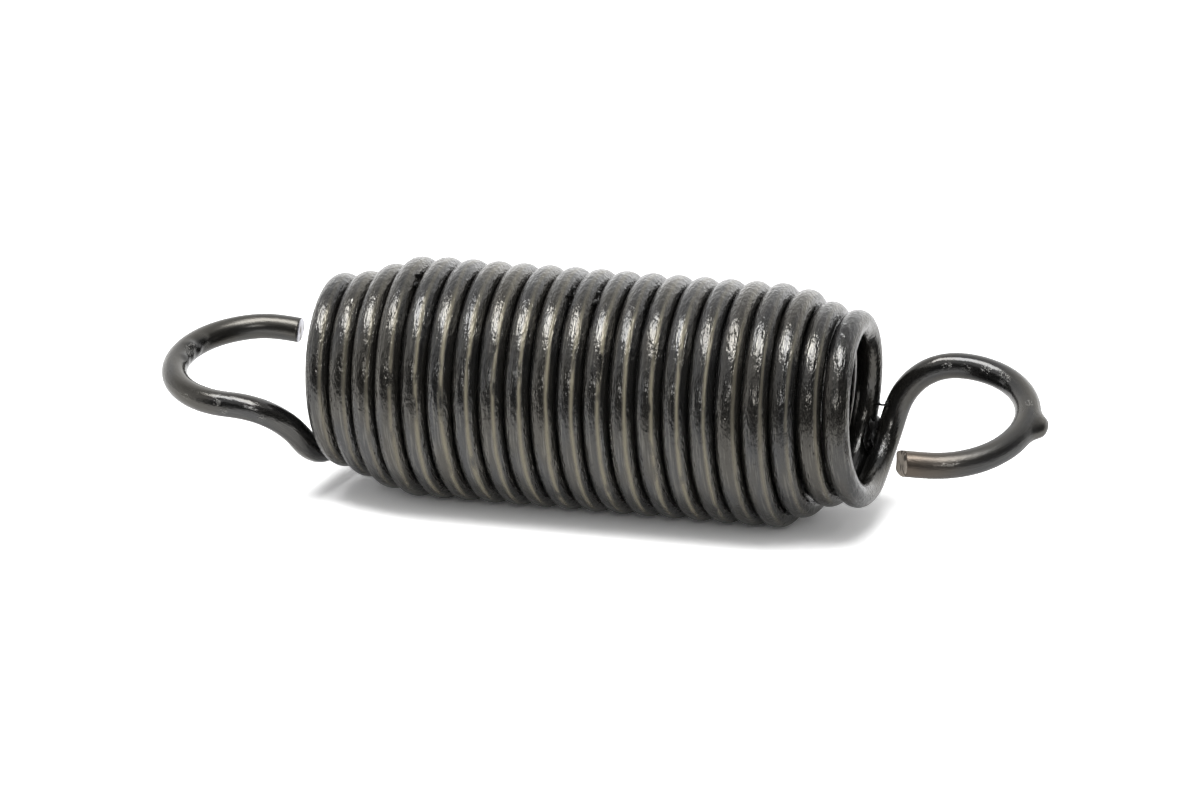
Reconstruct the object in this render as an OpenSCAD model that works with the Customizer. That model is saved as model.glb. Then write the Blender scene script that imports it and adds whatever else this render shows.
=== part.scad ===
// Extension spring: one round wire wound into a close coil that narrows at
// both ends, where it runs out into two open hooks. The spring lies on its
// side along X, and Z = 0 is the surface that it rests on.

/* [Wire] */
// Diameter of the wire
wire_d = 2.5; // [1.8:0.1:3.2]
// Small bevel round the square cut at the left end
cut_bevel = 0.2; // [0.1:0.05:0.4]
// Slant of the cut at the right end, which faces outwards
cut_slant = 37; // [10:1:40]
// Width that the slanted cut leaves square at its tip
cut_land = 0.4; // [0.2:0.1:0.8]

/* [Coil] */
// Outside diameter of the full turns
body_od = 23.3; // [20:0.1:30]
// Outside diameter of the end turns
end_od = 18.8; // [16:0.1:20]
// Whole turns between the two hooks
turns = 21; // [8:1:30]
// Clearance between neighbouring turns, which looks like none
turn_gap = 0.06; // [0.05:0.01:0.3]
// Turns at each end that keep the end diameter
plain_turns = 1; // [0.5:0.5:2]
// Turns over which the left end widens to the body
left_taper_turns = 2.5; // [1:0.5:4]
// Turns over which the right end narrows from the body
right_taper_turns = 2; // [1:0.5:4]
// How far the end turns on the right sit off the axis
right_end_shift = 0.35; // [0:0.05:0.5]

/* [Hooks] */
// Inside diameter of the half circle at the end of each hook
hook_id = 13.6; // [10:0.1:15]
// Distance along the axis from the last turn to the centre of the half circle
hook_reach = 7.1; // [6.8:0.1:12]
// How far the half circle sits off the axis, to the side that the wire comes from
hook_shift = 0.6; // [0:0.1:1]
// Open gap between the cut end of the left hook and the last turn
left_tip_gap = 3.9; // [1:0.1:4]
// Open gap between the cut end of the right hook and the last turn
right_tip_gap = 2.4; // [1:0.1:3]
// Angle between the planes of the two hooks
hook_twist = 7; // [0:1:30]
// Angle that the spring lies rolled about its own axis
lay_roll = 15.5; // [0:0.5:90]

/* [Hidden] */

black_steel = [0.13, 0.12, 0.12];
body_r = (body_od - wire_d) / 2;
end_r = (end_od - wire_d) / 2;
hook_r = (hook_id + wire_d) / 2;
pitch = wire_d + turn_gap;
half_turns = 2 * turns;
coil_length = turns * pitch;

// Each arc of wire stops short of a joint, where a ball a hair wider bridges it
joint_ball_d = wire_d + 0.02;
joint_room = 0.05;

// Facets round the wire and round a full circle of its path
wire_fn = 24;
path_fn = 72;

// Share of the way from the end radius to the body radius, n turns from an end
function taper(n, taper_turns) = min(1, max(0, (n - plain_turns) / taper_turns));

// Radius of the wire's centre line, n turns from the left end of the coil
function coil_r(n) = end_r + (body_r - end_r)
    * min(taper(n, left_taper_turns), taper(turns - n, right_taper_turns));

// Height of the coil's centre over the axis, n turns from the left end
function coil_shift(n) = right_end_shift * (1 - taper(turns - n, right_taper_turns));

// Point where half turn i starts: at the bottom if i is even, else at the top
function joint(i) = [
    i * pitch / 2 - coil_length / 2,
    0,
    coil_shift(i / 2) - cos(180 * i) * coil_r(i / 2)
];

function unit(v) = v / norm(v);

// Point where two arcs meet that lead smoothly from p along a to q along b
function meeting_point(p, a, q, b) =
    let (v = q - p, s = a + b, k = 2 * (1 - a * b))
    let (reach = (sqrt((v * s) ^ 2 + k * (v * v)) - v * s) / k)
    (p + q + reach * (a - b)) / 2;

// Length of a hook's straight tail that leaves this gap at its tip
function tail_length(tip_gap) = hook_reach - wire_d / 2 - tip_gap;

// Direction in which an arc from p along a arrives at q
function arrival(p, a, q) = let (v = unit(q - p)) 2 * (a * v) * v - a;

// Ball that bridges a joint of wire that runs along Y
module joint_ball() {
    rotate([90, 0, 0]) sphere(d = joint_ball_d, $fn = wire_fn);
}

// Wire bent along the arc that leaves p along a and ends in the joint at q
module bent_wire(p, a, q) {
    v = q - p;
    half_angle = acos(a * unit(v));
    r = norm(v) / (2 * sin(half_angle));
    room = joint_room / r * 180 / PI;
    outward = unit((a * unit(v)) * a - unit(v));
    up = cross(outward, a);
    multmatrix([
        [outward.x, a.x, up.x, p.x],
        [outward.y, a.y, up.y, p.y],
        [outward.z, a.z, up.z, p.z]
    ])
        translate([-r, 0, 0]) {
            rotate([0, 0, room])
                rotate_extrude(angle = 2 * (half_angle - room), $fn = path_fn)
                translate([r, 0])
                circle(d = wire_d, $fn = wire_fn);
            rotate([0, 0, 2 * half_angle])
                translate([r, 0, 0])
                joint_ball();
        }
}

// Straight wire of length l from the origin towards -X
module straight_wire(l) {
    rotate([0, -90, 0]) cylinder(d = wire_d, h = l, $fn = wire_fn);
}

// Tail of a hook, cut off square with a bevel
module square_end(l) {
    straight_wire(l - cut_bevel);
    translate([cut_bevel - l, 0, 0])
        rotate([0, -90, 0])
        cylinder(d1 = wire_d, d2 = wire_d - 2 * cut_bevel, h = cut_bevel, $fn = wire_fn);
}

// Tail of a hook, cut off at a slant that faces outwards
module slanted_end(l) {
    difference() {
        straight_wire(l);
        translate([-l, wire_d / 2 - cut_land, 0])
            rotate([0, 0, cut_slant])
            translate([-2 * wire_d, -2 * wire_d, -wire_d])
            cube([2 * wire_d, 3 * wire_d, 2 * wire_d]);
    }
}

// Coil of half turns, each a half circle between two joints
module coil() {
    translate(joint(0)) joint_ball();
    for (i = [0 : half_turns - 1])
        bent_wire(joint(i), [0, cos(180 * i), 0], joint(i + 1));
}

// Hook that leaves the bottom of a coil end towards +Y and comes back level with
// the axis, where its tail follows as a child
module hook(start) {
    along = [1, 0, 0];
    side = [0, cos(hook_twist / 2), sin(hook_twist / 2)];
    centre = [start.x + hook_reach, 0, 0] + hook_shift * side;
    bend_start = centre + hook_r * side;
    bend_end = centre - hook_r * side;
    middle = meeting_point(start, [0, 1, 0], bend_start, along);
    bent_wire(start, [0, 1, 0], middle);
    bent_wire(middle, arrival(start, [0, 1, 0], middle), bend_start);
    bent_wire(bend_start, along, bend_end);
    translate(bend_end) children();
}

// The whole wire, rolled as it lies
module spring() {
    color(black_steel)
        translate([0, 0, body_od / 2])
        rotate([lay_roll, 0, 0])
        union() {
            coil();
            hook(joint(half_turns))
                slanted_end(tail_length(right_tip_gap));
            rotate([0, 0, 180])
                hook([coil_length / 2, 0, joint(0).z])
                square_end(tail_length(left_tip_gap));
        }
}

spring();
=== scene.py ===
"""Extension spring of blackened steel wire, with an open hook at each end, lying on a white table.

The wire is wound again here from the sizes of the CAD model, as one fine skin, because its finish follows
the wire round every turn. All lengths of the spring are in millimetres until they go into a mesh.
"""

import math

import bpy
import numpy as np
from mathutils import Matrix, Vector, noise


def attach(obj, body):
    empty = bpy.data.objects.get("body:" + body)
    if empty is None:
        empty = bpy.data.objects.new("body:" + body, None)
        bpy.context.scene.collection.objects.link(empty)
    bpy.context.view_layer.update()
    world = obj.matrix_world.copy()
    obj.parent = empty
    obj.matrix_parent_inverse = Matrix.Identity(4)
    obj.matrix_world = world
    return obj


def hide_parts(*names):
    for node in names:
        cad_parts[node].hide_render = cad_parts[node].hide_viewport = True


MM = 0.001

# Sizes of the spring in mm and degrees, as in the CAD model, where only the right tail is 0.5 mm longer
WIRE_D = 2.5
WIRE_R = WIRE_D / 2
BODY_OD = 23.3
END_OD = 18.8
TURNS = 21
TURN_GAP = 0.06
PITCH = WIRE_D + TURN_GAP
PLAIN_TURNS = 1
LEFT_TAPER_TURNS = 2.5
RIGHT_TAPER_TURNS = 2
RIGHT_END_SHIFT = 0.35
HOOK_ID = 13.6
HOOK_R = (HOOK_ID + WIRE_D) / 2
HOOK_REACH = 7.1
HOOK_SHIFT = 0.6
LEFT_TIP_GAP = 3.9
RIGHT_TIP_GAP = 2.9
CUT_BEVEL = 0.2
CUT_SLANT = 37
CUT_LAND = 0.4
HOOK_TWIST = 7
LAY_ROLL = 15.5
COIL_LENGTH = TURNS * PITCH

# The photograph's view: degrees from -Y towards +X and upwards, then mm
VIEW_AZIMUTH = 15.54
VIEW_ELEVATION = 17.44
VIEW_DISTANCE = 507.6
VIEW_AIM = (0.573, 0, 10.671)
VIEW_LENS = 158.75

# How finely the wire's path and then its skin are drawn: steps in mm, and points round the wire
PATH_STEP = 0.1
SIDES = 28
COIL_STEP = 0.5
HOOK_STEP = 0.25

# How far into the coil the fine steps of each hook go on, in mm
FINE_PAST_LEFT_HOOK = 8
FINE_BEFORE_RIGHT_HOOK = 70

# Over about twice this length one bend of the wire eases into the next
BEND_EASE = 0.6

# How far the left tail's end droops, and over which length
LEFT_DROOP = 0.3
LEFT_DROOP_LENGTH = 5.0

# Slow waves of the skin: how high they are, and how many there are to a mm along the wire
SKIN_WAVE = 0.012
SKIN_WAVES_PER_MM = 0.35

# Over which length the right tail passes into its slanted cut
CUT_REACH = 3.0

# How far the upper corner of the slanted cut is worn back, and from which share of the wire's radius up
CORNER_WEAR = 0.4
WORN_FROM = 0.4

# Rims that close each cut end, each as its share of the ring and its mm past it
SQUARE_RIMS = ((0.96, 0.06), (0.88, 0.15), (0.82, 0.18), (0.4, CUT_BEVEL))
SLANTED_RIMS = ((0.97, 0.07), (0.9, 0.13), (0.84, 0.15), (0.4, 0.14))

# Blobs that the blackening dip left: mm along the wire, degrees round it, then length, width and height in
# mm. The first stands out from the right hook, and the others are low wrinkles on both hooks.
BLOBS = [
    (1386.8, -28, 1.4, 0.9, 0.9),
    (1332.4, -15, 0.9, 0.5, 0.1),
    (1334.6, -5, 0.7, 0.5, 0.08),
    (13.0, 170, 0.7, 0.5, 0.22),
    (15.5, -170, 0.7, 0.6, 0.2),
    (11.0, 180, 0.9, 0.5, 0.14),
    (12.2, -150, 0.5, 0.4, 0.2),
    (13.9, -150, 0.5, 0.4, 0.2),
]

# Dip that dried as threads. Each goes from mm along the wire and degrees round it to other mm and degrees,
# and ends with its thickness in mm. The first spans the gap between the last turn and the right hook, the
# next four run together into a web below it, and the short ones are beads in three of the grooves.
THREADS = [
    (1315.0, 100, 1366.0, -140, 0.22),
    (1312.6, 115, 1363.6, -120, 0.5),
    (1312.0, 120, 1363.0, -125, 0.6),
    (1311.3, 123, 1362.3, -130, 0.6),
    (1310.5, 125, 1361.6, -135, 0.6),
    (239.3, 72, 240.1, 92, 0.25),
    (240.5, 66, 240.9, 90, 0.3),
    (241.8, 68, 242.1, 90, 0.25),
    (633.0, 72, 633.8, 92, 0.25),
    (634.4, 68, 634.8, 90, 0.25),
    (698.9, 72, 699.7, 92, 0.3),
    (700.2, 68, 700.6, 90, 0.25),
]

# Shape of a thread: points along and round it, the share of its length that sinks into the wire at each
# end, how far it sags in mm, and the share by which it widens where it holds
THREAD_POINTS = 13
THREAD_SIDES = 8
THREAD_SINK = 0.15
THREAD_SAG = 0.5
THREAD_SPREAD = 0.8

# Scuffs from handling, laid out as the blobs are but without a height. The second is a painted highlight
# rather than a scuff: it lightens the right hook's crossover where a reflection lies.
HANDLING_MARKS_AND_PAINTED_HIGHLIGHT = [
    (1352.7, 110, 1.8, 1.0),
    # Painted highlight: this patch stands for a reflection on the crossover and lightens it as a scuff would
    (1361.4, 160, 2.2, 0.6),
    (1372.9, 175, 0.7, 0.5),
    (1374.9, 175, 0.8, 0.5),
    (1377.2, -175, 0.9, 0.6),
    (1379.9, -165, 1.4, 0.5),
    (1385.2, -120, 0.6, 0.5),
    (1396.9, -80, 1.2, 0.3),
    (13.8, 180, 1.6, 0.7),
    (23.0, 60, 0.5, 0.4),
    (26.2, 70, 0.5, 0.4),
    (26.8, 35, 0.5, 0.4),
    (30.2, 40, 0.6, 0.4),
    (844.3, -50, 3.0, 0.3),
    (239.8, 68, 2.0, 0.5),
]


def linear(hex_colour):
    """An sRGB hex colour as the linear values that Blender's sockets take."""
    channels = [int(hex_colour[i : i + 2], 16) / 255 for i in (1, 3, 5)]
    return tuple(c / 12.92 if c <= 0.04045 else ((c + 0.055) / 1.055) ** 2.4 for c in channels) + (1.0,)


def add_node(tree, kind, inputs=None, **settings):
    """Adds a node. Inputs go by name or number, each a value, an output, or a node for its first output."""
    made = tree.nodes.new(kind)
    for name, value in settings.items():
        setattr(made, name, value)
    for name, value in (inputs or {}).items():
        if isinstance(value, bpy.types.Node):
            value = value.outputs[0]
        if isinstance(value, bpy.types.NodeSocket):
            tree.links.new(value, made.inputs[name])
        else:
            made.inputs[name].default_value = value
    return made


# The path of the wire


def ramp(x, start, end):
    """0 up to start, 1 from end on, and a smooth rise between them."""
    u = np.clip((x - start) / (end - start), 0, 1)
    return u * u * (3 - 2 * u)


def taper(n, taper_turns):
    """Share of the way from the end radius to the body radius, n turns from an end, with soft corners."""
    near = np.linspace(-0.2, 0.2, 5)
    return np.mean([np.clip((n + d - PLAIN_TURNS) / taper_turns, 0, 1) for d in near], axis=0)


def wander(n):
    """How far the wire lies off the even helix along the axis, in mm, n turns from the left end.

    All turns lean a little, the last ones nest, and the very last stands off at the far side.
    """
    turned = 2 * math.pi * n
    lean = 0.18 + 0.12 * ramp(n, 18, 20)
    nesting = 0.29 * ramp(n, 18, 19.2)
    drift = 0.16 - nesting + 0.12 * np.cos(turned) + lean * np.sin(turned)
    far_side = 0.15 * np.exp(-(((n - 20.28) / 0.12) ** 2))
    return drift * ramp(n, 0, 0.5) * ramp(TURNS - n, 0, 0.3) + far_side


def coil_line(step):
    """Helix from the left end of the coil to the right one: points, outward directions and turns so far."""
    n = np.linspace(0, TURNS, int(TURNS * math.pi * BODY_OD / step))
    widening = np.minimum(taper(n, LEFT_TAPER_TURNS), taper(TURNS - n, RIGHT_TAPER_TURNS))
    r = (END_OD + (BODY_OD - END_OD) * widening - WIRE_D) / 2
    lift = RIGHT_END_SHIFT * (1 - taper(TURNS - n, RIGHT_TAPER_TURNS))
    turned = 2 * math.pi * n
    outward = np.stack([0 * n, np.sin(turned), -np.cos(turned)], 1)
    middle = np.stack([n * PITCH - COIL_LENGTH / 2 + wander(n), 0 * n, lift], 1)
    return middle + r[:, None] * outward, outward, n


def arc_line(start, along, end, step):
    """Points of the arc that leaves start along a direction and reaches end, without its last point."""
    chord = end - start
    length = np.linalg.norm(chord)
    half_angle = math.acos(np.clip(along @ chord / length, -1, 1))
    inward = chord / length - (along @ chord / length) * along
    inward /= np.linalg.norm(inward)
    r = length / (2 * math.sin(half_angle))
    angles = np.linspace(0, 2 * half_angle, max(3, int(2 * half_angle * r / step)))[:-1, None]
    return start + r * np.sin(angles) * along + r * (1 - np.cos(angles)) * inward


def hook_line(start, tip_gap, cap, step):
    """Crossover, half circle and tail of a hook that leaves the bottom of the coil's right end."""
    along, across = np.array([1.0, 0, 0]), np.array([0, 1.0, 0])
    half_twist = math.radians(HOOK_TWIST / 2)
    side = np.array([0, math.cos(half_twist), math.sin(half_twist)])
    centre = np.array([start[0] + HOOK_REACH, 0, 0]) + HOOK_SHIFT * side
    bend_start, bend_end = centre + HOOK_R * side, centre - HOOK_R * side
    # The two arcs of the crossover meet where both their directions agree
    chord, sides = bend_start - start, across + along
    k = 2 * (1 - across @ along)
    reach = (math.sqrt((chord @ sides) ** 2 + k * (chord @ chord)) - chord @ sides) / k
    middle = (start + bend_start + reach * (across - along)) / 2
    unit = (middle - start) / np.linalg.norm(middle - start)
    arrival = 2 * (across @ unit) * unit - across
    tail = HOOK_REACH - WIRE_R - tip_gap - cap
    steps = np.linspace(0, tail, max(3, int(tail / step)))[:, None]
    return np.concatenate(
        [
            arc_line(start, across, middle, step),
            arc_line(middle, arrival, bend_start, step),
            arc_line(bend_start, along, bend_end, step),
            bend_end - steps * along,
        ]
    )


def lengths_along(line):
    """Distance of each point from the first, measured along the line."""
    return np.concatenate([[0], np.cumsum(np.linalg.norm(np.diff(line, axis=0), axis=1))])


def eased(line, step, reach):
    """The line with even steps and each change of curve drawn out over about twice the reach."""
    s = lengths_along(line)
    even = np.linspace(0, s[-1], int(s[-1] / step))
    points = np.stack([np.interp(even, s, line[:, i]) for i in range(3)], 1)
    wide = int(3 * reach / step)
    weights = np.exp(-0.5 * (np.arange(-wide, wide + 1) * step / reach) ** 2)
    weights /= weights.sum()
    before = 2 * points[0] - points[wide:0:-1]
    after = 2 * points[-1] - points[-2 : -wide - 2 : -1]
    padded = np.concatenate([before, points, after])
    return np.stack([np.convolve(padded[:, i], weights, "valid") for i in range(3)], 1)


def wire_line():
    """Middle of the whole wire from the left cut end to the right one.

    Gives the points, the directions along the wire and outwards, the mm along the wire, and the turns from
    the left end of the coil, which run from -1 to 0 along the left hook and on past 21 along the right one.
    """
    coil, outward, n = coil_line(PATH_STEP)
    half_turn = np.array([-1.0, -1.0, 1.0])
    left = hook_line(coil[0] * half_turn, LEFT_TIP_GAP, CUT_BEVEL, PATH_STEP) * half_turn
    from_tip = lengths_along(left[::-1])[::-1]
    left[:, 2] -= LEFT_DROOP * np.clip(1 - from_tip / LEFT_DROOP_LENGTH, 0, 1) ** 2
    right = hook_line(coil[-1], RIGHT_TIP_GAP, 0, PATH_STEP)
    line = np.concatenate([left[:0:-1], coil, right[1:]])
    before, after = np.full((len(left) - 1, 3), np.nan), np.full((len(right) - 1, 3), np.nan)
    known = np.concatenate([before, outward, after])
    turns = np.concatenate([np.linspace(-1, 0, len(before)), n, np.linspace(TURNS, TURNS + 1, len(after))])
    s = lengths_along(line)
    smooth = eased(line, PATH_STEP, BEND_EASE)
    t = lengths_along(smooth)
    t *= s[-1] / t[-1]
    # Fine steps along the hooks and coarser ones along the coil
    fine_to = s[len(before)] + FINE_PAST_LEFT_HOOK
    fine_from = s[-len(after)] - FINE_BEFORE_RIGHT_HOOK
    stations = np.concatenate(
        [
            np.arange(0, fine_to, HOOK_STEP),
            np.arange(fine_to, fine_from, COIL_STEP),
            np.arange(fine_from, s[-1] - HOOK_STEP / 2, HOOK_STEP),
            [s[-1]],
        ]
    )
    line = np.stack([np.interp(stations, t, smooth[:, i]) for i in range(3)], 1)
    tangent = np.gradient(line, stations, axis=0)
    tangent /= np.linalg.norm(tangent, axis=1)[:, None]
    out = np.stack([np.interp(stations, s, known[:, i]) for i in range(3)], 1)
    in_coil = np.where(~np.isnan(out[:, 0]))[0]
    for i in in_coil:
        out[i] -= (out[i] @ tangent[i]) * tangent[i]
        out[i] /= np.linalg.norm(out[i])
    # Along the hooks the outward direction is carried on without twist
    for run in (range(in_coil[0] - 1, -1, -1), range(in_coil[-1] + 1, len(line))):
        held = out[in_coil[0] if run.step < 0 else in_coil[-1]]
        for i in run:
            held = held - (held @ tangent[i]) * tangent[i]
            held /= np.linalg.norm(held)
            out[i] = held
    return line, tangent, out, stations, np.interp(stations, s, turns)


def laid(points):
    """Rolls points about the spring's axis as it lies and sets them on the table."""
    a = math.radians(LAY_ROLL)
    roll = np.array([[1, 0, 0], [0, math.cos(a), -math.sin(a)], [0, math.sin(a), math.cos(a)]])
    return points @ roll.T + np.array([0, 0, BODY_OD / 2])


# The skin of the wire


def patch(s, angles, at, degrees, length, width):
    """1 at a place on the skin, fading to nothing over this length and width in mm."""
    turned = (angles - math.radians(degrees) + math.pi) % (2 * math.pi) - math.pi
    return np.exp(-2 * (((s[:, None] - at) / length) ** 2 + (turned[None] * WIRE_R / width) ** 2))


def relief(s, angles):
    """How far the skin stands off the round wire: slow waves, and the blobs of the dip."""
    high = np.zeros((len(s), SIDES))
    for i in range(len(s)):
        for j in range(SIDES):
            round_it = WIRE_R * math.cos(angles[j]), WIRE_R * math.sin(angles[j])
            high[i, j] = SKIN_WAVE * noise.noise(Vector((s[i] * SKIN_WAVES_PER_MM, *round_it)))
    for *place, height in BLOBS:
        high += height * (1 - (1 - patch(s, angles, *place)) ** 2)
    return high


def handling_marks_and_highlight(s, angles):
    """From 0 to 1: the handling marks on the skin, and the painted highlight on the right hook's crossover.
    """
    marks = np.zeros((len(s), SIDES))
    for place in HANDLING_MARKS_AND_PAINTED_HIGHLIGHT:
        marks = np.maximum(marks, patch(s, angles, *place))
    return marks


def slant(skin, line, s):
    """How far the points of the right tail's last rings are drawn back to the upright, slanted cut."""
    upright = math.radians(LAY_ROLL)
    across = (skin - line[:, None]) @ np.array([0, math.cos(upright), -math.sin(upright)])
    back = np.clip((WIRE_R - CUT_LAND - across) * math.tan(math.radians(CUT_SLANT)), 0, None)
    high = (skin - line[:, None]) @ np.array([0, math.sin(upright), math.cos(upright)])
    back += CORNER_WEAR * np.clip((high / WIRE_R - WORN_FROM) / (1 - WORN_FROM), 0, 1) ** 2
    return back * np.clip(1 - (s[-1] - s) / CUT_REACH, 0, 1)[:, None]


def wire_skin():
    """Rings of points round the wire from end to end, with the place and turn of each point, and its share
    of handling marks and painted highlight.
    """
    line, tangent, out, s, turns = wire_line()
    beside = np.cross(out, tangent)
    angles = np.linspace(0, 2 * math.pi, SIDES, endpoint=False)
    ring = np.cos(angles)[None, :, None] * out[:, None] + np.sin(angles)[None, :, None] * beside[:, None]
    skin = line[:, None] + (WIRE_R + relief(s, angles))[:, :, None] * ring
    back = slant(skin, line, s)
    skin -= back[:, :, None] * tangent[:, None]
    level = np.zeros_like(back)
    round_it = WIRE_R * np.cos(angles) + level, WIRE_R * np.sin(angles) + level
    place = np.stack([s[:, None] - back, *round_it], 2)
    return skin, place, turns[:, None] + level, handling_marks_and_highlight(s, angles), tangent


def make_wire(name, wire_rings, finish, square_cut, slanted_cut):
    """The whole wire as one closed skin, which carries its place, turn, handling marks and painted highlight
    to the finish.
    """
    skin, place, turns, marks, tangent = wire_rings
    points, places = [skin.reshape(-1, 3)], [place.reshape(-1, 3)]
    turned, marks_and_highlight_share = [turns.ravel()], [marks.ravel()]
    faces, slots = [], []
    for i in range(len(skin) - 1):
        for j in range(SIDES):
            k = (j + 1) % SIDES
            faces.append((i * SIDES + j, (i + 1) * SIDES + j, (i + 1) * SIDES + k, i * SIDES + k))
            slots.append(0)
    count = len(skin) * SIDES
    for end, way, profile, slot in ((0, -1, SQUARE_RIMS, 1), (len(skin) - 1, 1, SLANTED_RIMS, 2)):
        middle = skin[end].mean(0)
        rims = [range(end * SIDES, end * SIDES + SIDES)]
        for share, past in profile:
            points.append(middle + share * (skin[end] - middle) + way * past * tangent[end])
            places.append(place[end] * [1, share, share])
            turned.append(turns[end])
            marks_and_highlight_share.append(marks[end])
            rims.append(range(count, count + SIDES))
            count += SIDES
        points.append((middle + way * profile[-1][1] * tangent[end])[None])
        places.append(place[end].mean(0)[None])
        turned.append(turns[end, :1])
        marks_and_highlight_share.append(marks[end, :1])
        for number, (outer, inner) in enumerate(zip(rims, rims[1:])):
            for j in range(SIDES):
                k = (j + 1) % SIDES
                quad = (outer[j], outer[k], inner[k], inner[j])
                faces.append(quad[::way * -1])
                slots.append(slot if number > 0 else 0)
        for j in range(SIDES):
            faces.append((rims[-1][j], rims[-1][(j + 1) % SIDES], count)[::way * -1])
            slots.append(slot)
        count += 1
    mesh = bpy.data.meshes.new(name)
    mesh.from_pydata((laid(np.concatenate(points)) * MM).tolist(), [], faces)
    held = mesh.attributes.new("wire_place", "FLOAT_VECTOR", "POINT")
    held.data.foreach_set("vector", np.concatenate(places).ravel())
    for attribute, values in (("turn", turned), ("marks_and_highlight_share", marks_and_highlight_share)):
        held = mesh.attributes.new(attribute, "FLOAT", "POINT")
        held.data.foreach_set("value", np.concatenate(values))
    for material in (finish, square_cut, slanted_cut):
        mesh.materials.append(material)
    mesh.polygons.foreach_set("use_smooth", [True] * len(faces))
    mesh.polygons.foreach_set("material_index", slots)
    mesh.update()
    wire = bpy.data.objects.new(name, mesh)
    bpy.context.collection.objects.link(wire)
    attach(wire, "root")
    return wire


def thread_rings(start, end, thickness):
    """Rings round a thread that sags between two points and sinks a little into the wire at both."""
    steps = np.linspace(-THREAD_SINK, 1 + THREAD_SINK, THREAD_POINTS)
    sag = THREAD_SAG * steps * (1 - steps)
    middle = start + steps[:, None] * (end - start) - sag[:, None] * np.array([0, 0, 1.0])
    along = (end - start) / np.linalg.norm(end - start)
    up = np.array([0, 0, 1.0]) - along[2] * along
    up /= np.linalg.norm(up)
    angles = np.linspace(0, 2 * math.pi, THREAD_SIDES, endpoint=False)
    ring = np.cos(angles)[:, None] * up + np.sin(angles)[:, None] * np.cross(along, up)
    r = thickness / 2 * (1 + THREAD_SPREAD * np.abs(2 * steps - 1) ** 4)
    return middle[:, None] + r[:, None, None] * ring


def make_threads(name, wire_rings, finish):
    """Dried dip: the thread and the web between the last turn and the right hook, and the beads."""
    skin, place = wire_rings[:2]
    s = place[:, :, 0].max(1)
    points, faces = [], []
    for start, start_degrees, end, end_degrees, thickness in THREADS:
        held = []
        for at, degrees in ((start, start_degrees), (end, end_degrees)):
            held.append(skin[np.abs(s - at).argmin(), round(degrees % 360 / 360 * SIDES) % SIDES])
        rings = thread_rings(*held, thickness)
        first = len(points) * THREAD_SIDES
        last = first + (len(rings) - 1) * THREAD_SIDES
        points.extend(rings)
        for i in range(first, last, THREAD_SIDES):
            for j in range(THREAD_SIDES):
                k = (j + 1) % THREAD_SIDES
                faces.append((i + j, i + k, i + THREAD_SIDES + k, i + THREAD_SIDES + j))
        faces.append(tuple(range(first + THREAD_SIDES - 1, first - 1, -1)))
        faces.append(tuple(range(last, last + THREAD_SIDES)))
    mesh = bpy.data.meshes.new(name)
    mesh.from_pydata((laid(np.concatenate(points)) * MM).tolist(), [], faces)
    mesh.materials.append(finish)
    mesh.polygons.foreach_set("use_smooth", [True] * len(faces))
    mesh.update()
    threads = bpy.data.objects.new(name, mesh)
    bpy.context.collection.objects.link(threads)
    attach(threads, "root")


# Finishes

# The black skin of the wire, in mm: how long each feature is along the wire and how wide round it. Each adds
# its depth times noise from 0 to 1 to the skin's height. The die's real lines are too fine to show, so they
# are drawn coarser.
DIE_LINE_LENGTH = 3.0
DIE_LINE_WIDTH = 0.16
DIE_LINE_DEPTH = 0.032
DIE_LINE_DEPTH_AT_BACK = 0.01
RIPPLE_LENGTH = 0.6
RIPPLE_WIDTH = 0.24
RIPPLE_DEPTH = 0.1
WAVE_LENGTH = 2.6
WAVE_WIDTH = 0.9
WAVE_DEPTH = 0.13
CLOUD_LENGTH = 7.0
CLOUD_WIDTH = 2.2
SCRATCH_LENGTH = 0.35
SCRATCH_WIDTH = 0.2
SCRATCH_DEPTH = 0.025

# Pimples of the skin and bright dashes rubbed on it: how far apart in mm, how big, and how often they come
PIMPLE_SPACING = 1.1
PIMPLE_SIZE = 0.28
PIMPLE_SHARE = 0.2
PIMPLE_HEIGHT = 0.05
DASH_SPACING = 1.8
DASH_SIZE = 0.13
DASH_SHARE = 0.14
DASH_STRETCH = 3.0

# The drawing soap: the middle of the turns that show it, then degrees by which its line sways and fades out
SOAPY_MIDDLE = 10.0
SOAP_SWAY = 24.0
SOAP_FADE = 16.0

# The dried dip's wrinkles and the grooves of a cut face, in mm
WRINKLE = 0.1
GROOVE_WIDTH = 0.2
GROOVE_LENGTH = 1.0
GROOVE_DEPTH = 0.06

# A change from one value to another that starts and ends gently
SOFTLY = {"interpolation_type": "SMOOTHSTEP"}


def stretch(tree, along, middle, half_length, edge):
    """1 on a stretch that reaches this far to both sides of its middle, and 0 from edge further on."""
    off = add_node(tree, "ShaderNodeMath", {0: along, 1: -middle}, operation="ADD")
    away = add_node(tree, "ShaderNodeMath", {0: off}, operation="ABSOLUTE")
    limits = {"From Min": half_length + edge, "From Max": half_length}
    return add_node(tree, "ShaderNodeMapRange", {"Value": away, **limits}, **SOFTLY)


def drawn(tree, place, length, width, detail=2.0):
    """Noise whose features are this many mm long along the wire and this wide round it."""
    squeezed = add_node(tree, "ShaderNodeMapping", {"Vector": place, "Scale": (width / length, 1, 1)})
    return add_node(tree, "ShaderNodeTexNoise", {"Vector": squeezed, "Scale": 1 / width, "Detail": detail})


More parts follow.
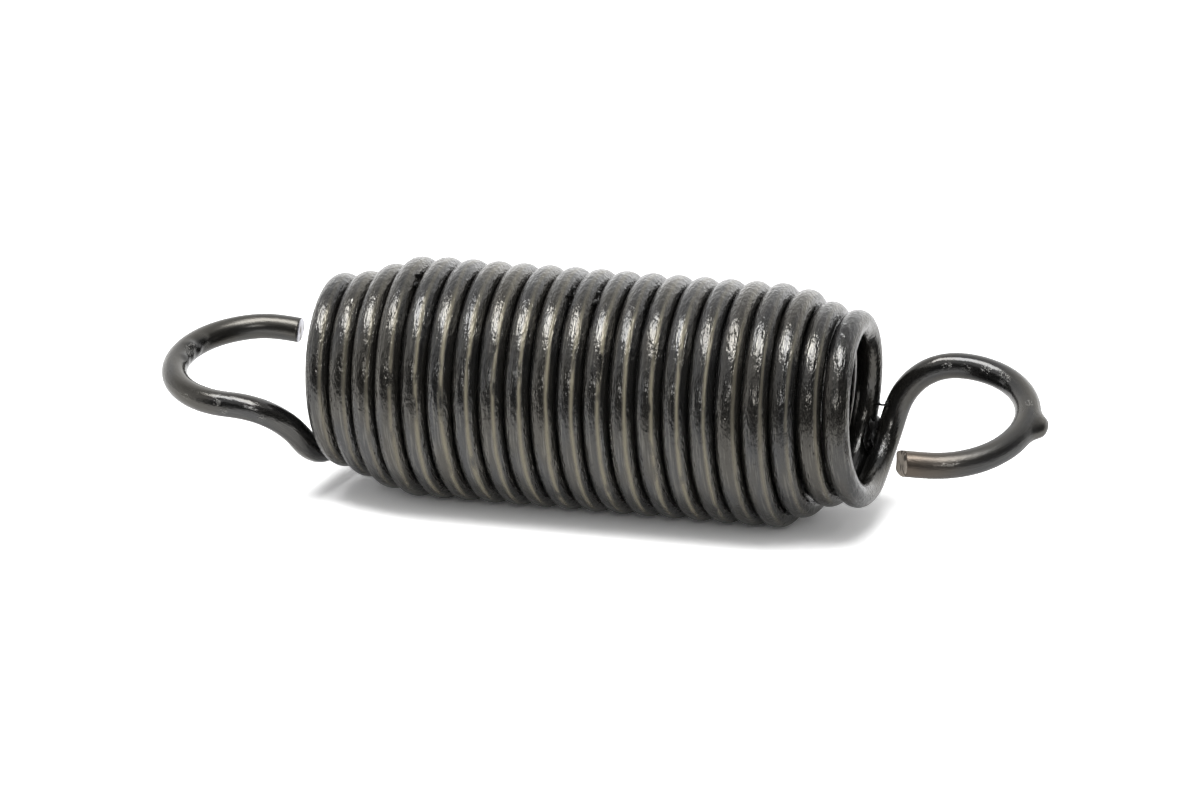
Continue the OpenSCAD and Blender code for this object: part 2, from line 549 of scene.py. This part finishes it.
def dots(tree, place, spacing, size, share, longer=1.0):
    """Dots of this size in mm, at random in a share of cells of this spacing, drawn out along the wire."""
    squeezed = add_node(tree, "ShaderNodeMapping", {"Vector": place, "Scale": (1 / longer, 1, 1)})
    cells = add_node(tree, "ShaderNodeTexVoronoi", {"Vector": squeezed, "Scale": 1 / spacing})
    limits = {"From Min": size / spacing, "From Max": 0.0}
    core = add_node(tree, "ShaderNodeMapRange", {"Value": cells.outputs["Distance"], **limits}, **SOFTLY)
    chance = add_node(tree, "ShaderNodeSeparateColor", {"Color": cells.outputs["Color"]})
    kept = add_node(tree, "ShaderNodeMath", {0: chance, 1: 1 - share}, operation="GREATER_THAN")
    return add_node(tree, "ShaderNodeMath", {0: core, 1: kept}, operation="MULTIPLY")


def soap_film(tree, turn, round_it, front, clouds, waves):
    """1 where drawing soap is left, in a line along each turn that is strongest in the middle of the coil.

    The line sways with the clouds of the finish and lies further out on the last turns.
    It has gaps where the waves are low, and is thin away from the front.
    """
    swaying = {0: clouds, 1: -SOAP_SWAY, 2: round_it}
    sway = add_node(tree, "ShaderNodeMath", swaying, operation="MULTIPLY_ADD")
    last_turns = {"From Min": 14.0, "From Max": 19.0, "To Min": 12.0, "To Max": 28.0}
    outwards = add_node(tree, "ShaderNodeMapRange", {"Value": turn, **last_turns}, **SOFTLY)
    from_line = add_node(tree, "ShaderNodeMath", {0: sway, 1: outwards}, operation="SUBTRACT")
    film = stretch(tree, from_line, 0.0, 0.0, SOAP_FADE)
    soapiest = stretch(tree, turn, SOAPY_MIDDLE, 5.0, 2.0)
    strength = add_node(tree, "ShaderNodeMix", {0: soapiest, 2: 0.5, 3: 0.9}, data_type="FLOAT")
    in_coil = stretch(tree, turn, SOAPY_MIDDLE, 9.9, 0.3)
    no_gap = {"From Min": 0.2, "From Max": 0.45}
    unbroken = add_node(tree, "ShaderNodeMapRange", {"Value": waves, **no_gap}, **SOFTLY)
    for mask in (strength, in_coil, front, unbroken):
        film = add_node(tree, "ShaderNodeMath", {0: film, 1: mask}, operation="MULTIPLY")
    return film


def rippled_skin(tree, turn, outward):
    """1 where the black skin is fully rippled: outside on the turns.

    The hooks weren't rubbed together as the turns were, and the mandrel that the coil was wound on left its
    inside smoother.
    """
    in_coil = stretch(tree, turn, TURNS / 2, 10.2, 0.7)
    rubbed = add_node(tree, "ShaderNodeMix", {0: in_coil, 2: 0.3, 3: 1.0}, data_type="FLOAT")
    off_mandrel = {"From Min": -1.0, "From Max": 0.3, "To Min": 0.4, "To Max": 1.0}
    outside = add_node(tree, "ShaderNodeMapRange", {"Value": outward, **off_mandrel}, **SOFTLY)
    return add_node(tree, "ShaderNodeMath", {0: rubbed, 1: outside}, operation="MULTIPLY")


def lined_marks_and_highlight(tree, place):
    """1 on the fine lines of scratching within the handling marks, and on the grain of the painted highlight
    on the right hook's crossover.
    """
    marks_and_highlight_share = add_node(tree, "ShaderNodeAttribute", attribute_name="marks_and_highlight_share").outputs["Fac"]
    in_scuff = {"From Min": 0.1, "From Max": 0.6}
    marked_area_and_highlight = add_node(tree, "ShaderNodeMapRange", {"Value": marks_and_highlight_share, **in_scuff}, **SOFTLY)
    grit = drawn(tree, place, SCRATCH_LENGTH, SCRATCH_WIDTH)
    on_grit = {"From Min": 0.48, "From Max": 0.62}
    fine_lines = add_node(tree, "ShaderNodeMapRange", {"Value": grit, **on_grit}, **SOFTLY)
    return add_node(tree, "ShaderNodeMath", {0: marked_area_and_highlight, 1: fine_lines}, operation="MULTIPLY")


def blackened_wire():
    """Spring steel drawn through a die, wound and blackened: glossy and nearly black.

    The black skin is too thin to hide the metal, so it mirrors like a very dark metal. The die's lines and
    the ripples of the skin break up every highlight. Along one side of each turn a dull film of the drawing
    soap is left, which shows as a soft olive brown line.
    """
    material = bpy.data.materials.new("blackened_spring_wire")
    material.use_nodes = True
    tree = material.node_tree
    tree.nodes.clear()
    place = add_node(tree, "ShaderNodeAttribute", attribute_name="wire_place").outputs["Vector"]
    turn = add_node(tree, "ShaderNodeAttribute", attribute_name="turn").outputs["Fac"]
    outward, beside = add_node(tree, "ShaderNodeSeparateXYZ", {"Vector": place}).outputs[1:3]
    angle = add_node(tree, "ShaderNodeMath", {0: beside, 1: outward}, operation="ARCTAN2")
    round_it = add_node(tree, "ShaderNodeMath", {0: angle}, operation="DEGREES")

    die_lines = drawn(tree, place, DIE_LINE_LENGTH, DIE_LINE_WIDTH)
    ripples = drawn(tree, place, RIPPLE_LENGTH, RIPPLE_WIDTH)
    waves = drawn(tree, place, WAVE_LENGTH, WAVE_WIDTH, 1.0)
    clouds = drawn(tree, place, CLOUD_LENGTH, CLOUD_WIDTH)
    dashes = dots(tree, place, DASH_SPACING, DASH_SIZE, DASH_SHARE, DASH_STRETCH)
    pimples = dots(tree, place, PIMPLE_SPACING, PIMPLE_SIZE, PIMPLE_SHARE)

    # The near side of each turn, as the spring lies, is the worn one, and the rest shows less wear
    share_of_turn = add_node(tree, "ShaderNodeMath", {0: turn}, operation="FRACT")
    worn_side = stretch(tree, share_of_turn, 0.71, 0.12, 0.08)
    front = add_node(tree, "ShaderNodeMix", {0: worn_side, 2: 0.3, 3: 1.0}, data_type="FLOAT")
    rippled = rippled_skin(tree, turn, outward)
    soap = soap_film(tree, turn, round_it, front, clouds, waves)
    lined_marks_and_highlight_mask = lined_marks_and_highlight(tree, place)
    # Heat from the cut browned the last 8 mm of the right hook, most at its tip
    heated = {"From Min": 21.82, "From Max": 21.98}
    browned = add_node(tree, "ShaderNodeMapRange", {"Value": turn, **heated}, **SOFTLY)

    # Each colour is laid over the ones before it where its mask is 1
    in_cloud = {"From Min": 0.35, "From Max": 0.65}
    cloudy = add_node(tree, "ShaderNodeMapRange", {"Value": clouds, **in_cloud}, **SOFTLY)
    on_line = {"From Min": 0.5, "From Max": 0.7}
    streaks = add_node(tree, "ShaderNodeMapRange", {"Value": die_lines, **on_line}, **SOFTLY)
    for mask in (rippled, front, 0.3):
        streaks = add_node(tree, "ShaderNodeMath", {0: streaks, 1: mask}, operation="MULTIPLY")
    # Painted highlight: besides tinting the handling marks, this light tint paints a reflection onto the
    # right hook's crossover
    light_tint_for_marks_and_highlight = add_node(tree, "ShaderNodeMath", {0: lined_marks_and_highlight_mask, 1: 0.25}, operation="MULTIPLY")
    colour = linear("#505050")
    for mask, hex_colour in (
        (cloudy, "#55534F"),
        (streaks, "#8F8D86"),
        (soap, "#7A7462"),
        (browned, "#5E564E"),
        (light_tint_for_marks_and_highlight, "#B4B2AC"),
        (dashes, "#D0CEC8"),
    ):
        laid_over = {0: mask, 6: colour, 7: linear(hex_colour)}
        colour = add_node(tree, "ShaderNodeMix", laid_over, data_type="RGBA").outputs[2]

    # Ripples dull the gloss, and so do the bend and tail of each hook, soap, scratching, the painted
    # highlight and dashes
    over_ripples = {"From Min": 0.3, "From Max": 0.7, "To Min": 0.13, "To Max": 0.21}
    rough = add_node(tree, "ShaderNodeMapRange", {"Value": ripples, **over_ripples}, **SOFTLY)
    left_end = {"From Min": -0.5, "From Max": -0.8}
    left_dulled = add_node(tree, "ShaderNodeMapRange", {"Value": turn, **left_end}, **SOFTLY)
    right_end = {"From Min": 21.5, "From Max": 21.75}
    right_dulled = add_node(tree, "ShaderNodeMapRange", {"Value": turn, **right_end}, **SOFTLY)
    rubbed = add_node(tree, "ShaderNodeMath", {0: soap, 1: lined_marks_and_highlight_mask}, operation="MAXIMUM")
    rubbed = add_node(tree, "ShaderNodeMath", {0: rubbed, 1: dashes}, operation="MAXIMUM")
    for mask, dull in ((left_dulled, 0.28), (right_dulled, 0.34), (rubbed, 0.32)):
        rough = add_node(tree, "ShaderNodeMix", {0: mask, 2: rough, 3: dull}, data_type="FLOAT")
    # The soap covers the metal
    metal = add_node(tree, "ShaderNodeMix", {0: soap, 2: 0.92, 3: 0.1}, data_type="FLOAT")

    # Heights in mm
    line_depth = {0: front, 2: DIE_LINE_DEPTH_AT_BACK, 3: DIE_LINE_DEPTH}
    depth_of_lines = add_node(tree, "ShaderNodeMix", line_depth, data_type="FLOAT")
    height = add_node(tree, "ShaderNodeMath", {0: die_lines, 1: depth_of_lines}, operation="MULTIPLY")
    for layer, depth in ((ripples, RIPPLE_DEPTH), (waves, WAVE_DEPTH), (pimples, PIMPLE_HEIGHT)):
        height = add_node(tree, "ShaderNodeMath", {0: layer, 1: depth, 2: height}, operation="MULTIPLY_ADD")
    scored = add_node(tree, "ShaderNodeMath", {0: lined_marks_and_highlight_mask, 1: SCRATCH_DEPTH}, operation="MULTIPLY")
    height = add_node(tree, "ShaderNodeMath", {0: height, 1: rippled, 2: scored}, operation="MULTIPLY_ADD")
    bump = add_node(tree, "ShaderNodeBump", {"Height": height, "Strength": 1.0, "Distance": MM})
    shader = add_node(
        tree,
        "ShaderNodeBsdfPrincipled",
        {"Base Color": colour, "Metallic": metal, "Roughness": rough, "Normal": bump},
    )
    add_node(tree, "ShaderNodeOutputMaterial", {"Surface": shader})
    return material


def dried_dip():
    """Blackening dip that dried in the air: black, glossy and finely wrinkled."""
    material = bpy.data.materials.new("dried_black_dip")
    material.use_nodes = True
    tree = material.node_tree
    shader = tree.nodes["Principled BSDF"]
    place = add_node(tree, "ShaderNodeTexCoord").outputs["Object"]
    wrinkles = add_node(tree, "ShaderNodeTexNoise", {"Vector": place, "Scale": 1 / (WRINKLE * MM)})
    blacks = {0: wrinkles, 6: linear("#0F0F0F"), 7: linear("#1E1D1C")}
    colour = add_node(tree, "ShaderNodeMix", blacks, data_type="RGBA").outputs[2]
    tree.links.new(colour, shader.inputs["Base Color"])
    shader.inputs["Roughness"].default_value = 0.3
    return material


def cut_steel(name, hex_colour, roughness):
    """Bare steel of a cut face, with the cutter's grooves across it, which show as darker streaks."""
    material = bpy.data.materials.new(name)
    material.use_nodes = True
    tree = material.node_tree
    tree.nodes.clear()
    place = add_node(tree, "ShaderNodeAttribute", attribute_name="wire_place").outputs["Vector"]
    grooves = drawn(tree, place, GROOVE_WIDTH, GROOVE_LENGTH, 1.0)
    in_groove = {"From Min": 0.45, "From Max": 0.7}
    darkened = add_node(tree, "ShaderNodeMapRange", {"Value": grooves, **in_groove}, **SOFTLY)
    steels = {0: darkened, 6: linear(hex_colour), 7: linear("#6A645E")}
    colour = add_node(tree, "ShaderNodeMix", steels, data_type="RGBA").outputs[2]
    grooved = {"Height": grooves, "Strength": 1.0, "Distance": GROOVE_DEPTH * MM}
    bump = add_node(tree, "ShaderNodeBump", grooved)
    shader = add_node(
        tree,
        "ShaderNodeBsdfPrincipled",
        {"Base Color": colour, "Metallic": 1.0, "Roughness": roughness, "Normal": bump},
    )
    add_node(tree, "ShaderNodeOutputMaterial", {"Surface": shader})
    return material


def white_table():
    """Matt white laminate. It shows brighter to the camera, as white wherever the spring leaves it lit."""
    material = bpy.data.materials.new("white_table")
    material.use_nodes = True
    tree = material.node_tree
    tree.nodes.clear()
    ray = add_node(tree, "ShaderNodeLightPath").outputs
    seen = {0: ray["Is Camera Ray"], 1: ray["Is Transmission Ray"]}
    seen = add_node(tree, "ShaderNodeMath", seen, operation="MAXIMUM")
    # In the wire the table mirrors darker towards the photographer, who stands in its light
    place = add_node(tree, "ShaderNodeTexCoord").outputs["Object"]
    towards = {0: place, 1: direction(VIEW_AZIMUTH, 0)}
    nearer = add_node(tree, "ShaderNodeVectorMath", towards, operation="DOT_PRODUCT").outputs["Value"]
    shade = {"From Min": 0.0, "From Max": 90 * MM, "To Min": 0.9, "To Max": 0.15}
    mirrored = add_node(tree, "ShaderNodeMapRange", {"Value": nearer, **shade}, **SOFTLY)
    lit = {0: ray["Is Glossy Ray"], 2: 0.8, 3: mirrored}
    white = add_node(tree, "ShaderNodeMix", lit, data_type="FLOAT")
    white = add_node(tree, "ShaderNodeMix", {0: seen, 2: white, 3: 1.4}, data_type="FLOAT")
    surface = add_node(tree, "ShaderNodeBsdfDiffuse", {"Color": white})
    add_node(tree, "ShaderNodeOutputMaterial", {"Surface": surface})
    return material


# Table, light and camera

# Height over the table at which the lamps aim, in mm, and half the table's width in metres
LAMP_AIM_HEIGHT = 10
TABLE_HALF_WIDTH = 3.0


def direction(azimuth, elevation):
    """Direction from the object towards a viewer at this azimuth from -Y towards +X."""
    a, e = math.radians(azimuth), math.radians(elevation)
    return Vector((math.sin(a) * math.cos(e), -math.cos(a) * math.cos(e), math.sin(e)))


def softbox(name, place, width, depth, power):
    """Rectangular lamp at a place in mm that faces the middle of the spring."""
    light = bpy.data.lights.new(name, "AREA")
    light.shape = "RECTANGLE"
    light.size, light.size_y = width * MM, depth * MM
    light.energy = power
    lamp = bpy.data.objects.new(name, light)
    bpy.context.collection.objects.link(lamp)
    lamp.location = Vector(place) * MM
    middle = Vector((0, 0, LAMP_AIM_HEIGHT * MM))
    lamp.rotation_euler = (middle - lamp.location).to_track_quat("-Z", "Y").to_euler()
    lamp.visible_camera = False


def lighting_tent():
    """White tent round the table, open and dark towards the photographer."""
    world = bpy.data.worlds.new("lighting_tent")
    bpy.context.scene.world = world
    world.use_nodes = True
    tree = world.node_tree
    tree.nodes.clear()
    ray = add_node(tree, "ShaderNodeLightPath").outputs
    way = add_node(tree, "ShaderNodeTexCoord").outputs["Generated"]
    # Open in front, under a roof whose edge rises to the right
    ahead = add_node(tree, "ShaderNodeVectorMath", {0: way, 1: direction(30, 0)}, operation="DOT_PRODUCT")
    facing = {"Value": ahead.outputs["Value"], "From Min": -0.2, "From Max": 0.4}
    in_front = add_node(tree, "ShaderNodeMapRange", facing, **SOFTLY)
    up = add_node(tree, "ShaderNodeVectorMath", {0: way, 1: (-0.2, 0, 1)}, operation="DOT_PRODUCT")
    roof = {"Value": up.outputs["Value"], "From Min": 0.78, "From Max": 0.5}
    under_roof = add_node(tree, "ShaderNodeMapRange", roof, **SOFTLY)
    opening = add_node(tree, "ShaderNodeMath", {0: in_front, 1: under_roof}, operation="MULTIPLY")
    # The walls are brighter low down than overhead, and brightest behind
    behind, height = add_node(tree, "ShaderNodeSeparateXYZ", {"Vector": way}).outputs[1:3]
    level = {"From Min": 0.0, "From Max": 1.0, "To Min": 1.1, "To Max": 0.35}
    white = add_node(tree, "ShaderNodeMapRange", {"Value": height, **level})
    backdrop = {"From Min": 0.0, "From Max": 1.0, "To Min": 0.0, "To Max": 0.85}
    backdrop = add_node(tree, "ShaderNodeMapRange", {"Value": behind, **backdrop}, **SOFTLY)
    white = add_node(tree, "ShaderNodeMath", {0: white, 1: backdrop}, operation="ADD")
    walls = add_node(tree, "ShaderNodeMix", {0: opening, 2: white, 3: 0.02}, data_type="FLOAT")
    # Only what mirrors sees the walls, what is matt gets an even fill, and the camera sees white
    fill = {0: ray["Is Glossy Ray"], 2: 0.7, 3: walls}
    strength = add_node(tree, "ShaderNodeMix", fill, data_type="FLOAT")
    seen = {0: ray["Is Camera Ray"], 1: ray["Is Transmission Ray"]}
    seen = add_node(tree, "ShaderNodeMath", seen, operation="MAXIMUM")
    strength = add_node(tree, "ShaderNodeMix", {0: seen, 2: strength, 3: 1.0}, data_type="FLOAT")
    shown = add_node(tree, "ShaderNodeBackground", {"Color": linear("#FFFFFF"), "Strength": strength})
    add_node(tree, "ShaderNodeOutputWorld", {"Surface": shown})


def set_stage():
    """Table, tent, lamps and the photograph's camera."""
    mesh = bpy.data.meshes.new("table")
    half = TABLE_HALF_WIDTH
    corners = [(-half, -half, 0), (half, -half, 0), (half, half, 0), (-half, half, 0)]
    mesh.from_pydata(corners, [], [(0, 1, 2, 3)])
    mesh.materials.append(white_table())
    table = bpy.data.objects.new("table", mesh)
    bpy.context.collection.objects.link(table)
    lighting_tent()
    softbox("overhead_softbox", (-80, -165, 785), width=800, depth=350, power=7.2)
    above_the_lens = direction(VIEW_AZIMUTH - 3, 26) * 500
    softbox("lamp_above_the_lens", above_the_lens, width=130, depth=80, power=0.2)
    data = bpy.data.cameras.new("camera")
    data.sensor_width = 36
    data.lens = VIEW_LENS
    camera = bpy.data.objects.new("camera", data)
    bpy.context.collection.objects.link(camera)
    way = direction(VIEW_AZIMUTH, VIEW_ELEVATION)
    camera.location = (Vector(VIEW_AIM) + way * VIEW_DISTANCE) * MM
    camera.rotation_euler = (-way).to_track_quat("-Z", "Y").to_euler()
    scene = bpy.context.scene
    scene.camera = camera
    scene.view_settings.view_transform = "Standard"


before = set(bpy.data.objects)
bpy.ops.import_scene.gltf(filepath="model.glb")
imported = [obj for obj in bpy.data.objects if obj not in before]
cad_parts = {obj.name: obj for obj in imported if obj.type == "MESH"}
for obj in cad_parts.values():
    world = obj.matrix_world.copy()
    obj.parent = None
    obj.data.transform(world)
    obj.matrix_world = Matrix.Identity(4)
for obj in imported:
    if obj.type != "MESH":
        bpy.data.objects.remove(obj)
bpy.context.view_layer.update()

wire_rings = wire_skin()
cut_faces = cut_steel("sheared_steel", "#C4C4CA", 0.4), cut_steel("pinched_steel", "#C4BBB0", 0.6)
wire = make_wire("wire", wire_rings, blackened_wire(), *cut_faces)
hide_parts("spring")
make_threads("dried_threads", wire_rings, dried_dip())
set_stage()
